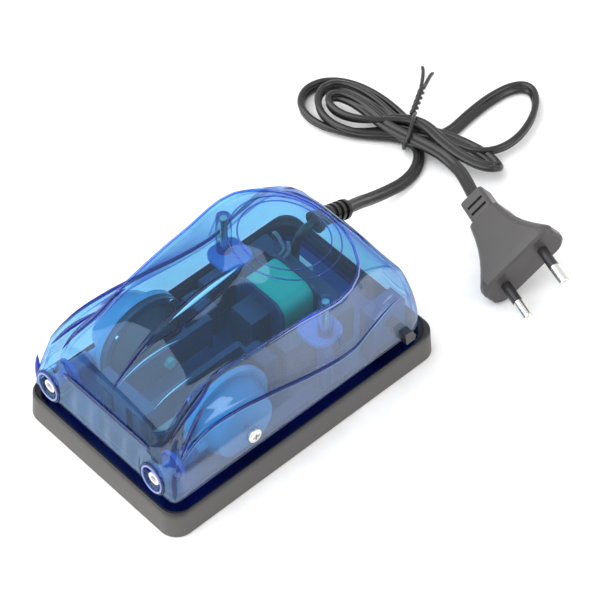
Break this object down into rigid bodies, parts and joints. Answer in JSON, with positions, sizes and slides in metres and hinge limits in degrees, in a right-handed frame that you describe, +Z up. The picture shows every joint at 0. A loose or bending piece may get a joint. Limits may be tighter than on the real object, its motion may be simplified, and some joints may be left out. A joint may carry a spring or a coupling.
{
  "type": "aquarium air pump",
  "caption": "Twin-outlet diaphragm air pump: see-through streamlined shell on a rubber boot, swinging magnet arms, flow slider, tied mains cord with a flat two-pin plug.",
  "frame": {"origin": "centre of the rubber base's footprint, on the surface it stands on", "axes": "+Z up, +Y towards the rear where the mains cord leaves, -Y towards the two air outlets, +X towards the side with the flow slider"},
  "size_m": [0.1502, 0.2458, 0.0611],
  "materials": {
    "base_rubber": "satin moulded rubber",
    "tray_plastic": "moulded",
    "shell_clear": "see-through tinted, polished",
    "screw_steel": "nickel plated",
    "frame_plastic": "moulded",
    "core_steel": "varnished laminations",
    "bobbin_plastic": "moulded",
    "coil_copper": "enamelled wire",
    "tape_teal": "wrapped film",
    "pad_rubber": "matte",
    "terminal_plastic": "moulded",
    "wire_insulation": "extruded",
    "cord_jacket": "extruded",
    "cord_moulding": "moulded",
    "slider_plastic": "moulded",
    "filter_felt": "felt",
    "cap_plastic": "moulded",
    "tie_wire": "coated wire",
    "pin_metal": "nickel plated",
    "sleeve_plastic": "moulded",
    "housing_plastic": "moulded",
    "valve_plastic": "moulded",
    "diaphragm_rubber": "matte",
    "arm_plastic": "moulded",
    "magnet_ferrite": "sintered ferrite",
    "nut_plastic": "moulded",
    "nozzle_plastic": "moulded",
    "hose_silicone": "milky"
  },
  "bodies": {
    "casing": {"rubber_base": "base_rubber", "bottom_plate": "tray_plastic", "top_cover": "shell_clear", "cover_screws": "screw_steel", "side_screws": "screw_steel", "ring_screws": "screw_steel", "terminal_screws": "screw_steel", "arm_bracket": "frame_plastic", "core_clamps": "frame_plastic", "core_laminations": "core_steel", "coil_bobbin": "bobbin_plastic", "coil_winding": "coil_copper", "coil_tape": "tape_teal", "core_pads": "pad_rubber", "terminal_block": "terminal_plastic", "lead_wires": "wire_insulation", "inner_cord": "cord_jacket", "cord_lead": "cord_jacket", "cord_hank": "cord_jacket", "cord_tail": "cord_jacket", "cord_grommet": "cord_moulding", "plug_body": "cord_moulding", "flow_valve": "slider_plastic", "air_filter": "filter_felt", "filter_cap": "cap_plastic", "twist_tie": "tie_wire", "plug_pins": "pin_metal", "plug_pin_sleeves": "sleeve_plastic", "chamber_housing_right": "housing_plastic", "valve_plate_right": "valve_plastic", "flap_valves_right": "diaphragm_rubber", "diaphragm_right": "diaphragm_rubber", "diaphragm_ring_right": "frame_plastic", "arm_pivot_pin_right": "screw_steel", "outlet_nozzle_right": "nozzle_plastic", "outlet_hose_right": "hose_silicone", "chamber_housing_left": "housing_plastic", "valve_plate_left": "valve_plastic", "flap_valves_left": "diaphragm_rubber", "diaphragm_left": "diaphragm_rubber", "diaphragm_ring_left": "frame_plastic", "arm_pivot_pin_left": "screw_steel", "outlet_nozzle_left": "nozzle_plastic", "outlet_hose_left": "hose_silicone"},
    "arm_right": {"swing_arm_right": "arm_plastic", "magnet_right": "magnet_ferrite", "hub_nut_right": "nut_plastic"},
    "arm_left": {"swing_arm_left": "arm_plastic", "magnet_left": "magnet_ferrite", "hub_nut_left": "nut_plastic"},
    "slider": {"flow_slider": "slider_plastic"}
  },
  "joints": [
    {"name": "arm_right_swing", "type": "hinge", "parent": "casing", "child": "arm_right", "pos_m": [0.008, -0.049, 0.024], "axis": [0, 0, 1], "range_deg": [-2, 2], "stiffness_Nm_per_rad": 0.05, "deforming": ["diaphragm_right"]},
    {"name": "arm_left_swing", "type": "hinge", "parent": "casing", "child": "arm_left", "pos_m": [-0.008, -0.049, 0.024], "axis": [0, 0, 1], "range_deg": [-2, 2], "stiffness_Nm_per_rad": 0.05, "deforming": ["diaphragm_left"]},
    {"name": "flow_slide", "type": "slide", "parent": "casing", "child": "slider", "axis": [0, -0.5031, 0.8642], "range_m": [0, 0.004]}
  ],
  "couplings": [
    {"joint": "arm_left_swing", "follows": "arm_right_swing", "ratio": -1}
  ]
}
